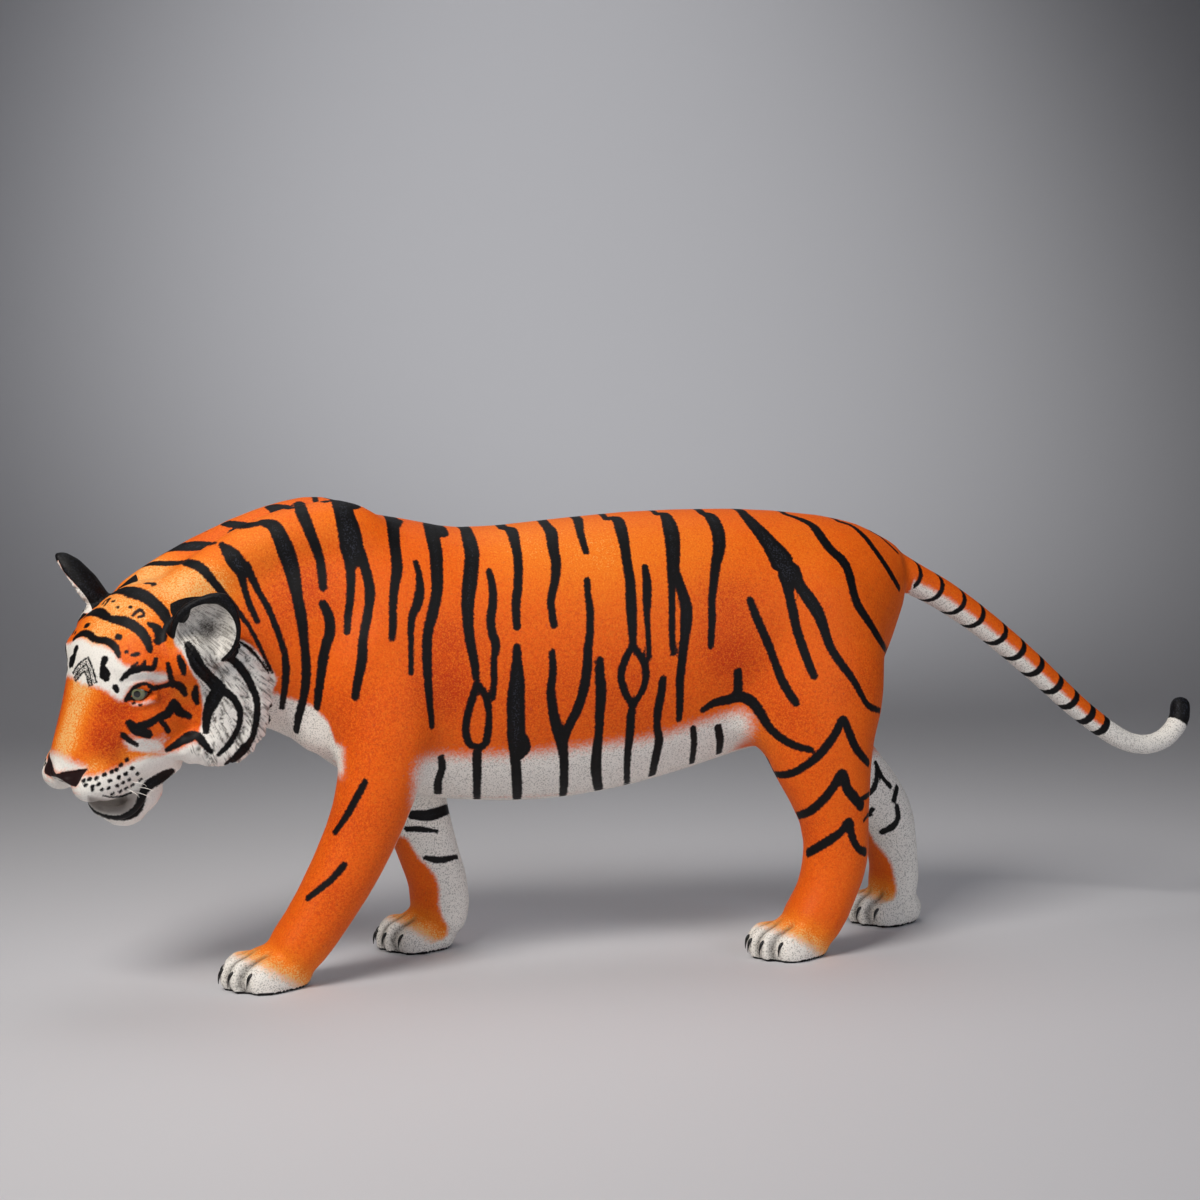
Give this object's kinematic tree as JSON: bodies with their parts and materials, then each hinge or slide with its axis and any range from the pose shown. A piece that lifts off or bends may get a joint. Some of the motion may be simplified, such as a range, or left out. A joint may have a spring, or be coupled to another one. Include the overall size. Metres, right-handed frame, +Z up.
{
  "type": "walking tiger figurine",
  "caption": "Standing figurine of a tiger in mid stride, head low and turned to its left, tail trailing; set on a shelf or table as an ornament.",
  "frame": {"origin": "on the floor plane at the middle of the bounding box", "axes": "+Z up; the tiger walks towards -X; its left side faces -Y and its tail trails towards +X"},
  "size_m": [0.3328, 0.0658, 0.125],
  "materials": {
    "painted_cast": "matte hand-painted cast resin, orange with black stripes and white underside"
  },
  "bodies": {
    "root": {"tiger": "painted_cast"}
  },
  "joints": []
}
